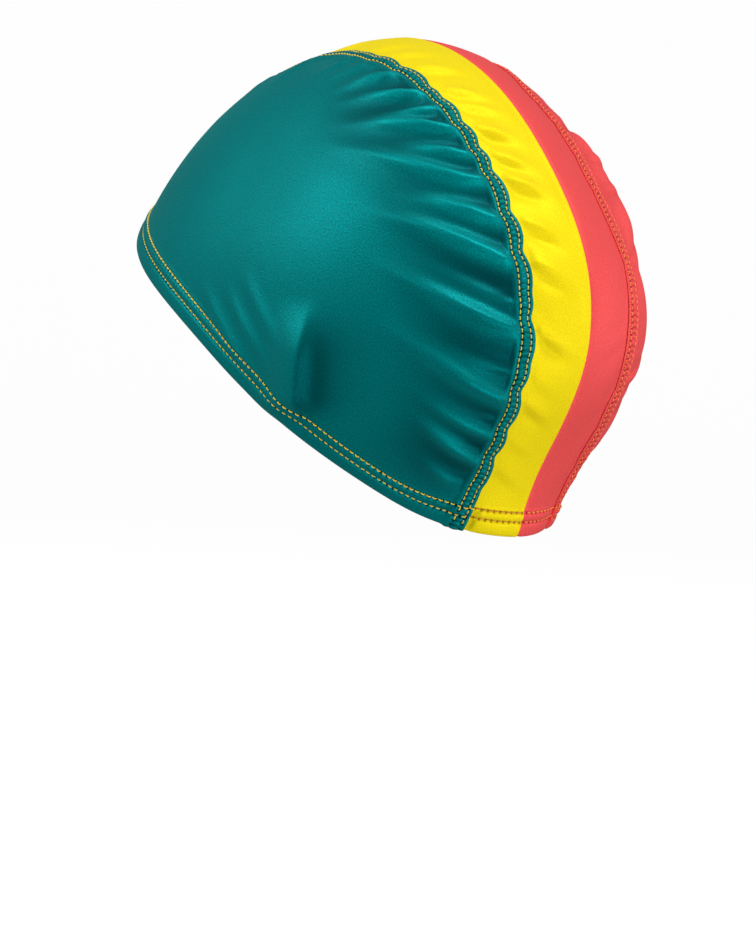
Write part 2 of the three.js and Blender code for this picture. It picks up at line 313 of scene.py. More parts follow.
def foldField(way, folds):
    turn, lean = turnOf(way), np.arcsin(np.abs(way[..., 0]))
    total = 0 * turn
    for start, half, tip, tipLean, width, rise in folds:
        first = float(leanPast(start, lap["rows"][1]))
        share = (lean - first) / (math.radians(tipLean) - first)
        held = np.clip(share, -0.3, 1.3)
        run, bend = 4 * half - 3 * start - tip, 2 * start - 4 * half + 2 * tip
        slope = run + 2 * bend * held
        path = start + run * held + bend * held**2
        lengthways = math.degrees(math.radians(tipLean) - first) / np.cos(lean)
        off = np.radians(turn - path) * 90 * np.cos(lean) / np.hypot(1, slope / lengthways)
        downhill = off * np.sign(start - 85) > 0  # the flank away from the crown
        flank = np.where(downhill, crest["downhill"], crest["uphill"])
        spread = width * (0.9 + 0.3 * np.clip(share, 0, 1)) * flank
        fade = (0.75 + 0.5 * np.clip(share / 0.3, 0, 1)) * smooth((1.1 - share) / 0.9)
        if folds is rightFolds:
            puff = np.clip(1 - (off / (width * (1 + 0.1 * share))) ** 2, 0, 1) ** 0.6
            total += rise * puff * fade
        else:
            rounded = crest["round"] * (1 + np.clip(share, 0, 1))
            total += crest["depth"] * rise * ridge(off, spread, rounded) * fade
    return total


def fineFolds(way, distance, seed):
    random = np.random.default_rng(seed)
    turn = turnOf(way)
    total = 0 * distance
    for cycle in (2.3, 3.1, 4.3, 5.9):
        total += np.sin(np.radians(turn) * 360 / cycle + random.uniform(0, 6.28) + distance * 0.12)
    return 0.1 * total * np.exp(-((np.clip(distance - 5.5, 0, None) / 6) ** 2))


def earPlace(way):
    # How far a place lies behind the ridge, and how much of the ridge there is beside it
    point = onForm(way)
    y, z = point[..., 1], point[..., 2]
    off = y - (ear["back"] - ear["bend"] * (z - 2) ** 2)
    along = smooth((ear["top"] - z) / 22) * smooth((z - ear["bottom"]) / 10)
    return off, along * smooth((np.abs(point[..., 0]) - 45) / 10)


def earField(way):
    off, present = earPlace(way)
    front = np.exp(-((np.clip(-off, 0, None) / ear["frontReach"]) ** 2))
    behind = np.exp(-(np.hypot(np.clip(off, 0, None), 0.8) - 0.8) / ear["backReach"])
    reach = np.clip(off, 0, None) / ear["hollowReach"]
    hollow = reach * np.exp(1 - reach)
    return (ear["rise"] * front * behind - ear["hollow"] * hollow) * present


def sideFoldField(way):
    point = onForm(way)
    total = 0 * point[..., 0]
    for (y0, z0), (y1, z1), width, rise in sideFolds:
        run = np.array([y1 - y0, z1 - z0])
        length = np.hypot(*run)
        run = run / length
        dy, dz = point[..., 1] - y0, point[..., 2] - z0
        along = (dy * run[0] + dz * run[1]) / length
        off = dy * run[1] - dz * run[0]
        fade = smooth(1 - np.abs(along - 0.5) / 0.62)
        total += rise * fade * np.exp(-((off / width) ** 2)) * (point[..., 0] > 0)
    return total


def paintedShadeAndLight(way, distance, folds):
    # Painted shade for the knit's colour: in the hollows between folds, and a painted shadow behind the ear
    # ridge.
    # Below 0 it is painted highlight: paler crests of the folds over the back of the crown.
    turn = turnOf(way)
    zone = smooth((paintedShadeSettings["reach"] - distance) / 36) * smooth((turn - 92) / 26)
    zone = zone * smooth((228 - turn) / 20) * smooth((distance - lap["rows"][1]) / 3)
    off, present = earPlace(way)
    shade = np.exp(-((np.clip(off, 0, None) / paintedShadeSettings["earReach"]) ** 2))
    paintedEarShadow = paintedShadeSettings["paintedEarShadow"] * present * smooth((off + 0.6) / 1.6) * shade
    fold = foldField(way, folds) / paintedShadeSettings["foldHeight"]
    back = smooth((turn - 98) / 16) * smooth((178 - turn) / 16)
    paintedCrestLight = paintedShadeSettings["paintedCrestLight"] * zone * back * smooth((fold - 0.7) / 0.5)
    share = 1.0 if folds is leftFolds else paintedShadeSettings["onRight"]
    return share * (np.maximum(zone * (1 - smooth(fold)), paintedEarShadow) - paintedCrestLight)


def seamWave(turn, folds):
    wave = 0 * np.asarray(turn, float)
    for start, _, _, _, width, rise in folds:
        if folds is rightFolds:
            wave += 0.7 * np.clip(1 - ((turn - start) * alongSeam / width) ** 2, 0, 1) ** 0.6
        else:
            wave -= min(1, rise / 1.8) * ridge((turn - start + 2.5) * alongSeam, 3.2, 0.8)
    return lap["wave"] * ((0.3 if folds is rightFolds else -0.5) - wave)


# Cross-sections of the hem and the lap


def rowGroove(distance, rows):
    return sum(np.exp(-(((distance - row) / 0.6) ** 2)) for row in rows)


def hemRelief(height):
    edge, upper = hem["rows"]
    lower = np.sqrt(np.clip(1 - (2 * height / edge - 1) ** 2, 0, 1))
    between = np.sqrt(np.clip(1 - (2 * (height - edge) / (upper - edge) - 1) ** 2, 0, 1))
    puff = np.where(height < edge, lower, np.where(height < upper, 0.75 * between, 0))
    band = np.where(height < upper, 1, 1 - smooth((height - upper) / 1.6))
    return hem["puff"] * (0.45 * band + 0.55 * puff) - hem["groove"] * rowGroove(height, hem["rows"])


def lapRelief(distance):
    inner, outer = lap["rows"]
    between = np.sqrt(np.clip(1 - (2 * (distance - inner) / (outer - inner) - 1) ** 2, 0, 1))
    roll = np.sqrt(np.clip(1 - (1 - np.clip(distance, 0, 0.9) / 0.9) ** 2, 0, 1)) - 1
    return lap["puff"] * between + 0.25 * roll - lap["groove"] * rowGroove(distance, lap["rows"])


def onLap(distance):
    return 1 - smooth((distance - lap["width"]) / lap["slope"])


def inBand(height):
    return 1 - smooth((height - hem["depth"]) / hem["step"])


def seamSink(turn, distance, folds):
    # The front of each seam is pulled tight and lies in a shallow valley, on the right as far as the back
    valley = np.exp(-((distance / seamPull["frontReach"]) ** 2))
    sink = seamPull["front"] * smooth((106 - turn) / 22) * valley * smooth(turn / 20)
    if folds is rightFolds:
        sink = sink * (1 - (1 - seamPull["rightFront"]) * smooth((turn - 60) / 20))
        valley = np.exp(-(((distance - 3) / seamPull["rightBackReach"]) ** 2))
        sink += seamPull["rightBack"] * smooth((turn - 100) / 18) * smooth((174 - turn) / 32) * valley
        beyond = smooth((turn - 150) / 12) * smooth((232 - turn) / 20) * smooth((distance - 4) / 6)
        sink += seamPull["rightBeyond"] * beyond
    return sink


def panelHeights(way, distance, height, folds, seed):
    calm = 0.3 * smooth((distance - 0.6) / 3.4) + 0.7 * smooth((distance - 4.2) / 3.2)
    clearOfHem = smooth((height - hem["depth"] + 1) / 11)
    fold = (foldField(way, folds) + fineFolds(way, distance, seed)) * calm * clearOfHem
    fold = np.where(distance < lap["width"] + lap["slope"], np.maximum(fold, 0), fold)
    fold += earField(way)
    lifted = onLap(distance)
    base = lap["lift"] * lifted + fold - cloth["inset"] - seamSink(turnOf(way), distance, folds)
    outer = base + cloth["wall"] + hemRelief(height) + lapRelief(distance) * lifted + sideFoldField(way)
    inner = base - cloth["wall"] * inBand(height) * (1 - lifted)
    return outer, np.minimum(inner, outer - 0.4)


def stripPuckers(turn, inside, folds):
    total = 0 * inside
    fade = np.exp(-(((inside - pucker["middle"]) / pucker["reach"]) ** 2))
    close = np.exp(-((inside / 3.0) ** 2))
    for start, _, _, _, _, rise in folds:
        off = (turn - start + pucker["shift"] - pucker["slant"] * inside) * alongSeam
        total += pucker["depth"] * rise * (ridge(off, 2.6, 0.7) - 1.2 * ridge(off - 4.0, 2.1, 0.8)) * fade
        ripple = np.cos((turn - start) * 2.0) * ridge((turn - start) * alongSeam, 4.0, 1.0)
        total += pucker["ripple"] * rise * ripple * close
    return total


def stripHeights(way, distance, height, folds, lip):
    across = np.degrees(np.arcsin(np.abs(way[..., 0]))) * 1.66
    turn = turnOf(way)
    inside = np.clip(-distance, 0, None)
    dents = stripPuckers(turn, inside, leftFolds)
    dents = dents * (1 - (1 - pucker["atNape"]) * smooth((turn - 178) / 28))
    if folds is rightFolds:
        dents = pucker["onCoral"] * dents
    slow = 0.25 * np.sin(np.radians(turn) * 17 + across * 0.16) * smooth((turn - 100) / 60)
    under = smooth((inside - 1.0) / 2.0)  # 0 under the lap, 1 in the open
    clearOfHem = smooth((height - hem["depth"] + 1) / 10)
    dents = (dents + slow * smooth(inside / 5)) * under * clearOfHem * smooth((across - 0.5) / 5)
    seamDip = np.exp(-(across**2))
    outer = cloth["wall"] - cloth["inset"] + under * hemRelief(height) + dents
    outer = outer - (0.3 if lip else 0.6) * seamDip + lip * np.exp(-(((across - 0.8) / 0.6) ** 2))
    sink = seamSink(turn, distance, folds)
    outer = outer - sink + 0.12 * np.exp(-((distance / 0.9) ** 2))  # up to the lap's edge
    inner = -cloth["wall"] * inBand(height) + np.minimum(dents, 0) - cloth["inset"] - sink
    return outer, np.minimum(inner, outer - 0.4)


# Meshes. Grids of ways are welded, given an outer and an inner skin, and closed by a rounded rim.


def gridQuads(rows, columns, offset):
    index = offset + np.arange(rows * columns).reshape(rows, columns)
    corners = (index[:-1, :-1], index[:-1, 1:], index[1:, 1:], index[1:, :-1])
    return np.stack([c.ravel() for c in corners], -1)


def weld(grids):
    ways, facts, quads, offset = [], [], [], 0
    for way, fact in grids:
        rows, columns = way.shape[:2]
        quads.append(gridQuads(rows, columns, offset))
        ways.append(way.reshape(-1, 3))
        facts.append(fact.reshape(-1, fact.shape[-1]))
        offset += rows * columns
    ways, facts, quads = np.concatenate(ways), np.concatenate(facts), np.concatenate(quads)
    keys = np.round(ways * 1e7).astype(np.int64)
    _, first, back = np.unique(keys, axis=0, return_index=True, return_inverse=True)
    return ways[first], facts[first], back.reshape(-1)[quads]


def boundaryLoop(quads):
    edges = np.concatenate([quads[:, [k, (k + 1) % 4]] for k in range(4)])
    size = quads.max() + 1
    alone = ~np.isin(edges[:, 0] * size + edges[:, 1], edges[:, 1] * size + edges[:, 0])
    onward = dict(edges[alone].tolist())
    start = next(iter(onward))
    loop = [start]
    while onward[loop[-1]] != start:
        loop.append(onward[loop[-1]])
    return np.array(loop)


def clothPiece(name, ways, quads, heights, places, side, material):
    outerHeight, innerHeight = heights
    base, normal = onForm(ways), formNormal(ways)
    outer = base + normal * outerHeight[:, None]
    inner = base + normal * innerHeight[:, None]
    loop = boundaryLoop(quads)
    along = outer[np.roll(loop, -1)] - outer[np.roll(loop, 1)]
    outwards = unit(np.cross(along, normal[loop]))
    middle = (outer[loop] + inner[loop]) / 2
    half = (outer[loop] - inner[loop]) / 2
    rings = [loop]
    points = [outer, inner]
    count = len(ways)
    offset = 2 * count
    steps = 5
    for step in range(1, steps):
        angle = math.pi * step / steps
        ring = middle + half * math.cos(angle) + outwards * cloth["round"] * math.sin(angle)
        points.append(ring)
        rings.append(offset + np.arange(len(loop)))
        offset += len(loop)
    rings.append(loop + count)
    faces = [quads, quads[:, ::-1] + count]
    for upper, lower in zip(rings[:-1], rings[1:]):
        faces.append(np.stack([np.roll(upper, -1), upper, lower, np.roll(lower, -1)], -1))
    points, faces = np.concatenate(points), np.concatenate(faces)
    if side < 0:
        points[:, 0] *= -1
        faces = faces[:, ::-1]
    mesh = bpy.data.meshes.new(name)
    mesh.from_pydata((points * metre).tolist(), [], faces.tolist())
    mesh.polygons.foreach_set("use_smooth", np.ones(len(faces), bool))
    onRim = np.concatenate([np.arange(count), np.arange(count)] + [loop] * (steps - 1))
    for key, values in places.items():
        attribute = mesh.attributes.new(key, "FLOAT_VECTOR", "POINT")
        attribute.data.foreach_set("vector", values[onRim].astype(np.float32).ravel())
    mesh.materials.append(material)
    mesh.update()
    piece = bpy.data.objects.new(name, mesh)
    scene.collection.objects.link(piece)
    print(name, len(faces) * 2, "triangles")
    return piece


# Charts: millimetres on the cloth for the weave, and stitch counts along the seam and the hem

seamTurns = np.linspace(0, 245, 1500)
hemAzimuths = np.linspace(0, math.pi, 900)


def pathLength(points):
    return np.concatenate([[0], np.cumsum(np.linalg.norm(np.diff(points, axis=0), axis=1))])


seamArc = pathLength(onForm(fan(seamTurns, leanPast(seamTurns, 3.3))))
hemArc = pathLength(onForm(aboveHem(hemAzimuths, 7.0)))


chartMiddle = fan(105, math.radians(60))
chartUp = unit(np.cross(np.cross(chartMiddle, np.array([0.0, 0.0, 1.0])), chartMiddle))
chartSide = np.cross(chartMiddle, chartUp)
chartReach = 82


def chart(way):
    angle = np.arccos(np.clip(way @ chartMiddle, -1, 1))
    bearing = np.arctan2(way @ chartSide, way @ chartUp)
    return angle * np.cos(bearing) * chartReach, angle * np.sin(bearing) * chartReach


def fromChart(a, b):
    angle = np.hypot(a, b) / chartReach
    bearing = np.arctan2(b, a)
    around = np.cos(bearing)[..., None] * chartUp + np.sin(bearing)[..., None] * chartSide
    return np.cos(angle)[..., None] * chartMiddle + np.sin(angle)[..., None] * around


def clothPlaces(way, distance, height, weave):
    seamCount = np.interp(turnOf(way), seamTurns, seamArc) / lap["pitch"]
    point = onForm(way)
    azimuth = np.arctan2(np.abs(point[..., 0]), -point[..., 1])
    hemCount = np.interp(azimuth, hemAzimuths, hemArc) / hem["pitch"]
    return {
        "weavePlace": np.stack([weave[0], weave[1], 0 * distance], -1),
        "seamPlace": np.stack([seamCount, distance, 0 * distance], -1),
        "hemPlace": np.stack([hemCount, height, 0 * distance], -1),
    }


# Grids


def bandAzimuth(height, distance, atBrow):
    if atBrow:
        azimuths = np.linspace(0.08, 0.75, 260)
    else:
        azimuths = np.linspace(math.pi - 0.08, math.pi - 0.95, 260)
    return np.interp(distance, pastSeam(aboveHem(azimuths, height)), azimuths)


def panelGrid(folds):
    lapEnd = lap["width"] + lap["slope"]
    lapRows = np.linspace(0, 1, grid["lapSteps"] + 1) * lapEnd
    bandTop = hem["depth"] + hem["step"]
    hemRows = np.linspace(0, bandTop, grid["hemSteps"] + 1)
    bodyShares = np.linspace(0, 1, grid["body"] + 1)
    hemWays = []
    for height in hemRows:
        front = bandAzimuth(height, lapRows, True)
        back = bandAzimuth(height, lapRows, False)[::-1]
        middle = front[-1] + (back[0] - front[-1]) * bodyShares[1:-1]
        hemWays.append(aboveHem(np.concatenate([front, middle, back]), height))
    hemWays = np.array(hemWays)
    columns = hemWays.shape[1]
    steps = grid["lapSteps"]
    hemFacts = np.stack([pastSeam(hemWays), np.repeat(hemRows[:, None], columns, 1)], -1)
    hemFacts[:, : steps + 1, 0] = lapRows
    hemFacts[:, -steps - 1 :, 0] = lapRows[::-1]
    topRow = hemWays[-1]

    # The lap: columns run up the seam, rows run from the body edge out to the seam edge
    side, top = grid["side"], grid["body"]
    share = grid["sideShare"]
    shares = np.concatenate(
        [
            np.linspace(0, share, side + 1)[:-1],
            np.linspace(share, 1 - share, top + 1),
            np.linspace(1 - share, 1, side + 1)[1:],
        ]
    )
    lapWays = []
    for row, distance in enumerate(lapRows):
        first, last = turnOf(topRow[row]), turnOf(topRow[columns - 1 - row])
        turn = first + (last - first) * shares
        fade = smooth(shares / 0.03) * smooth((1 - shares) / 0.03)
        wave = seamWave(turn, folds) * (1 - distance / lapEnd) * fade
        ways = fan(turn, leanPast(turn, distance + wave))
        ways[0], ways[-1] = topRow[row], topRow[columns - 1 - row]
        lapWays.append(ways)
    lapWays = np.array(lapWays)[::-1]
    lapFacts = np.stack(
        [np.repeat(lapRows[::-1, None], lapWays.shape[1], 1), bandTop + 0 * lapWays[..., 0]], -1
    )
    lapFacts[..., 1] = np.maximum(bandTop, hemDistance(lapWays))

    # The body: a patch between the hem band and three stretches of the lap
    edge = lapWays[0]
    bottom = np.stack(chart(topRow[steps : columns - steps]), -1)
    left = np.stack(chart(edge[: side + 1]), -1)
    upper = np.stack(chart(edge[side : side + top + 1]), -1)
    right = np.stack(chart(edge[side + top :]), -1)[::-1]
    u = np.linspace(0, 1, top + 1)[None, :, None]
    v = np.linspace(0, 1, side + 1)[:, None, None]
    patch = (1 - v) * bottom[None] + v * upper[None] + (1 - u) * left[:, None] + u * right[:, None]
    patch -= (1 - v) * ((1 - u) * bottom[0] + u * bottom[-1])
    patch -= v * ((1 - u) * upper[0] + u * upper[-1])
    bodyWays = fromChart(patch[..., 0], patch[..., 1])
    bodyWays[0] = topRow[steps : columns - steps]
    bodyWays[-1] = edge[side : side + top + 1]
    bodyWays[:, 0] = edge[: side + 1]
    bodyWays[:, -1] = edge[side + top :][::-1]
    bodyDistance = np.maximum(pastSeam(bodyWays), lapEnd)
    bodyFacts = np.stack([bodyDistance, np.maximum(bandTop, hemDistance(bodyWays))], -1)
    return weld([(hemWays, hemFacts), (lapWays, lapFacts), (bodyWays, bodyFacts)])


def stripGrid():
    tuck = strip["tuck"]
    shares = np.concatenate([[0, 0.15, 0.3, 0.5, 0.75], np.arange(1, 30)]) / 29
    rows = [("open", s) for s in shares] + [("under", d) for d in np.linspace(0.4, 1, 5) * tuck]
    bandTop = hem["depth"] + hem["step"]
    hemRows = np.linspace(0, bandTop, grid["hemSteps"] + 1)
    ways, facts = [], []
    turns = np.linspace(0, 250, 2400)
    for kind, value in rows:
        if kind == "open":
            least = (strip["gap"] + cloth["round"]) / formRadius(fan(turns, 0))
            lean = least + (leanPast(turns, 0) - least) * value
        else:
            lean = leanPast(turns, value)
        line = fan(turns, lean)
        points = onForm(line)
        arc = pathLength(points)
        rise = hemDistance(line)
        brow = np.interp(0, rise[:900], arc[:900])
        nape = np.interp(0, rise[:1500:-1], arc[:1500:-1])
        places = np.concatenate(
            [
                brow + hemRows,
                np.linspace(brow + bandTop, nape - bandTop, 341)[1:-1],
                nape - hemRows[::-1],
            ]
        )
        turn = np.interp(places, arc, turns)
        way = unit(onTable(turn, turns, line))
        fromHem = np.minimum(places - brow, nape - places)
        ways.append(way)
        facts.append(np.stack([pastSeam(way) if kind == "open" else value + 0 * fromHem, fromHem], -1))
    ways, facts = np.array(ways)[::-1], np.array(facts)[::-1]
    return weld([(ways, facts)])


# Materials


def newMaterial(name):
    material = bpy.data.materials.new(name)
    material.use_nodes = True
    tree = material.node_tree
    tree.nodes.clear()
    output = tree.nodes.new("ShaderNodeOutputMaterial")
    shader = tree.nodes.new("ShaderNodeBsdfPrincipled")
    tree.links.new(shader.outputs["BSDF"], output.inputs["Surface"])
    return material, tree, shader


def link(tree, value, socket):
    if isinstance(value, bpy.types.NodeSocket):
        tree.links.new(value, socket)
    else:
        socket.default_value = value


def calc(tree, operation, *values):
    node = tree.nodes.new("ShaderNodeMath")
    node.operation = operation
    for value, socket in zip(values, node.inputs):
        link(tree, value, socket)
    return node.outputs[0]


def ramp(tree, value, low, high, toLow=0.0, toHigh=1.0):
    node = tree.nodes.new("ShaderNodeMapRange")
    node.interpolation_type = "SMOOTHSTEP"
    labels = ("Value", "From Min", "From Max", "To Min", "To Max")
    for label, setting in zip(labels, (value, low, high, toLow, toHigh)):
        link(tree, setting, node.inputs[label])
    return node.outputs["Result"]


def mixColor(tree, share, first, second, blend="MIX"):
    node = tree.nodes.new("ShaderNodeMix")
    node.data_type = "RGBA"
    node.blend_type = blend
    link(tree, share, node.inputs[0])
    link(tree, first, node.inputs[6])
    link(tree, second, node.inputs[7])
    return node.outputs[2]


def bump(tree, height, strength, distance, normal=None):
    node = tree.nodes.new("ShaderNodeBump")
    node.inputs["Strength"].default_value = strength
    node.inputs["Distance"].default_value = distance
    link(tree, height, node.inputs["Height"])
    if normal is not None:
        link(tree, normal, node.inputs["Normal"])
    return node.outputs["Normal"]


def noise(tree, vector, scale, detail=2.0, roughness=0.5):
    node = tree.nodes.new("ShaderNodeTexNoise")
    node.inputs["Scale"].default_value = scale
    node.inputs["Detail"].default_value = detail
    node.inputs["Roughness"].default_value = roughness
    link(tree, vector, node.inputs["Vector"])
    return node.outputs["Fac"]


def stretched(tree, vector, scale):
    node = tree.nodes.new("ShaderNodeVectorMath")
    node.operation = "MULTIPLY"
    tree.links.new(vector, node.inputs[0])
    node.inputs[1].default_value = scale
    return node.outputs[0]


def place(tree, name):
    node = tree.nodes.new("ShaderNodeAttribute")
    node.attribute_name = name
    split = tree.nodes.new("ShaderNodeSeparateXYZ")
    tree.links.new(node.outputs["Vector"], split.inputs[0])
    return node.outputs["Vector"], split.outputs[0], split.outputs[1], split.outputs[2]


def nearRow(tree, distance, row, width):
    return ramp(tree, calc(tree, "ABSOLUTE", calc(tree, "SUBTRACT", distance, row)), width, width * 0.25)


def rowMarks(tree, count, distance, rows, share=0.27):
    # Needle holes between stitches, in a dark line on each row
    beat = calc(tree, "ABSOLUTE", calc(tree, "SUBTRACT", calc(tree, "FRACT", count), 0.5))
    hole = ramp(tree, beat, share, share + 0.1)
    marks = 0.0
    for row in rows:
        onRow = calc(tree, "MULTIPLY", hole, nearRow(tree, distance, row, 0.7))
        marks = calc(tree, "MAXIMUM", marks, onRow)
    return marks


def ladder(tree, count, distance, rows, margin):
    # Ribs across the cloth between two rows
    wave = calc(tree, "SINE", calc(tree, "MULTIPLY", count, 2 * math.pi))
    low = ramp(tree, distance, rows[0] - margin, rows[0] + 0.3)
    high = ramp(tree, distance, rows[1] + margin, rows[1] - 0.3)
    return calc(tree, "MULTIPLY", wave, calc(tree, "MULTIPLY", low, high))


def knitMaterial(name, colors, gloss, shine, satin):
    # the third colour is the dark of the needle holes and also the painted shade
    base, shade, holeAndPaintedShadeColor, glossTint = colors
    material, tree, shader = newMaterial(name)
    coordinates = tree.nodes.new("ShaderNodeTexCoord").outputs["Object"]
    weave, weaveAcross, weaveAlong, _ = place(tree, "weavePlace")
    _, seamCount, seamDistance, paintedShadeField = place(tree, "seamPlace")
    _, hemCount, hemHeightHere, _ = place(tree, "hemPlace")

    # Fine knit: wales along the cloth, with courses across them
    wales = calc(tree, "SINE", calc(tree, "MULTIPLY", weaveAcross, 2 * math.pi / 0.42))
    courses = calc(tree, "SINE", calc(tree, "MULTIPLY", weaveAlong, 2 * math.pi / 0.36))
    knit = calc(tree, "MULTIPLY", calc(tree, "ADD", wales, calc(tree, "MULTIPLY", courses, 0.6)), 0.5)
    grain = noise(tree, stretched(tree, weave, (1.5, 2.3, 1.0)), 1.0, 2.0, 0.7)
    speckle = noise(tree, stretched(tree, weave, (0.9, 1.5, 1.0)), 1.0, 1.0, 0.6)
    cloudy = noise(tree, coordinates, 28, 2.0, 0.5)

    tone = mixColor(tree, ramp(tree, grain, 0.38, 0.62), shade, base)
    tone = mixColor(tree, calc(tree, "MULTIPLY", ramp(tree, speckle, 0.55, 0.75), 0.22), tone, shade)
    tone = mixColor(tree, calc(tree, "MULTIPLY", ramp(tree, cloudy, 0.45, 0.8), 0.18), tone, shade)
    # painted shade in the fold hollows and behind the ear, and painted highlight on the fold crests
    paintedHollowShade = calc(tree, "MAXIMUM", calc(tree, "MULTIPLY", paintedShadeField, paintedShadeSettings["darkest"]), 0.0)
    paintedCrestLight = calc(tree, "MAXIMUM", calc(tree, "MULTIPLY", paintedShadeField, -1.0), 0.0)
    tone = mixColor(tree, paintedHollowShade, tone, holeAndPaintedShadeColor)
    tone = mixColor(tree, paintedCrestLight, tone, tone, "ADD")
    marks = calc(
        tree,
        "MAXIMUM",
        rowMarks(tree, seamCount, seamDistance, lap["rows"]),
        rowMarks(tree, hemCount, hemHeightHere, hem["rows"]),
    )
    ribs = ladder(tree, seamCount, seamDistance, lap["rows"], 0.4)
    # painted shade in the troughs of the ribs between the lap rows, unevenly strong
    uneven = ramp(tree, noise(tree, coordinates, 260, 1.0), 0.35, 0.7, 0.1, 0.8)
    ribShade = calc(tree, "MULTIPLY", ramp(tree, ribs, -0.2, -0.95), uneven)
    tone = mixColor(tree, ribShade, tone, holeAndPaintedShadeColor)
    tone = mixColor(tree, calc(tree, "MULTIPLY", marks, 0.95), tone, holeAndPaintedShadeColor)
    link(tree, tone, shader.inputs["Base Color"])

    hemRibs = ladder(tree, hemCount, hemHeightHere, hem["rows"], 1.5)
    normal = bump(tree, knit, 0.1, 0.00005)
    normal = bump(tree, grain, 0.55, 0.0002, normal)
    normal = bump(tree, ribs, 0.6, 0.00025, normal)
    normal = bump(tree, hemRibs, 0.35, 0.00012, normal)
    normal = bump(tree, calc(tree, "MULTIPLY", marks, -1.0), 0.8, 0.0003, normal)
    link(tree, normal, shader.inputs["Normal"])
    link(tree, ramp(tree, grain, 0.3, 0.7, gloss + 0.06, gloss - 0.05), shader.inputs["Roughness"])
    shader.inputs["Specular IOR Level"].default_value = shine
    shader.inputs["Specular Tint"].default_value = glossTint
    shader.inputs["Metallic"].default_value = satin
    shader.inputs["Sheen Weight"].default_value = 0.03
    shader.inputs["Sheen Roughness"].default_value = 0.4
    shader.inputs["Sheen Tint"].default_value = glossTint
    return material


def threadMaterial(name, color, shade):
    material, tree, shader = newMaterial(name)
    coordinates = tree.nodes.new("ShaderNodeTexCoord").outputs["Object"]
    strands = noise(tree, coordinates, 2600, 2.0, 0.6)
    link(tree, mixColor(tree, ramp(tree, strands, 0.35, 0.65), shade, color), shader.inputs["Base Color"])
    link(tree, bump(tree, strands, 0.5, 0.0001), shader.inputs["Normal"])
    shader.inputs["Roughness"].default_value = 0.5
    shader.inputs["Sheen Weight"].default_value = 0.2
    return material


tealKnit = knitMaterial(
    "tealKnit",
    ((0.0, 0.225, 0.228, 1), (0.0, 0.145, 0.15, 1), (0.0, 0.02, 0.03, 1), (0.0, 1.0, 1.0, 1)),
    0.45,
    0.25,
    0.38,
)
yellowKnit = knitMaterial(
    "yellowKnit",
    ((0.95, 0.78, 0.008, 1), (0.86, 0.66, 0.004, 1), (0.42, 0.17, 0.0, 1), (1, 0.9, 0.1, 1)),
    0.5,
    0.25,
    0.15,
)
coralKnit = knitMaterial(
    "coralKnit",
    ((0.92, 0.1, 0.1, 1), (0.8, 0.072, 0.074, 1), (0.4, 0.02, 0.02, 1), (1, 0.3, 0.3, 1)),
    0.5,
    0.25,
    0.15,
)
goldThread = threadMaterial("goldThread", (1.0, 0.78, 0.05, 1), (0.95, 0.56, 0.02, 1))
orangeThread = threadMaterial("orangeThread", (1.0, 0.32, 0.04, 1), (0.9, 0.2, 0.03, 1))
brownThread = threadMaterial("brownThread", (0.72, 0.3, 0.01, 1), (0.5, 0.17, 0.005, 1))
print("materials made")

# Cloth pieces


def makePanel(name, folds, side, material, seed):
    ways, facts, quads = panelGrid(folds)
    distance, height = facts[:, 0], facts[:, 1]
    heights = panelHeights(ways, distance, height, folds, seed)
    places = clothPlaces(ways, distance, height, chart(ways))
    # the third value of seamPlace holds painted shade (above 0) and painted highlight (below 0)
    places["seamPlace"][:, 2] = paintedShadeAndLight(ways, distance, folds)
    return clothPiece(name, ways, quads, heights, places, side, material)


def makeStrip(name, folds, side, material, lip):
    ways, facts, quads = stripGrid()
    distance, height = facts[:, 0], facts[:, 1]
    heights = stripHeights(ways, distance, height, folds, lip)
    turn = turnOf(ways)
    weave = (np.arcsin(ways[:, 0]) * 95, np.radians(turn) * 95)
    places = clothPlaces(ways, distance, height, weave)
    places["seamPlace"][:, 1] = -9  # the lap's rows leave no marks on the strip
    return clothPiece(name, ways, quads, heights, places, side, material)


leftPanel = makePanel("leftPanel", leftFolds, 1, tealKnit, 3)
rightPanel = makePanel("rightPanel", rightFolds, -1, coralKnit, 8)
yellowStrip = makeStrip("yellowStrip", leftFolds, 1, yellowKnit, 0.3)
coralStrip = makeStrip("coralStrip", rightFolds, -1, coralKnit, 0.0)

# Stitches: one short arch of thread for each, set on the path points by Geometry Nodes

stitch = {"onLap": 0.19, "onHem": 0.24, "share": 0.64, "rise": 0.2, "sides": 7, "steps": 5}


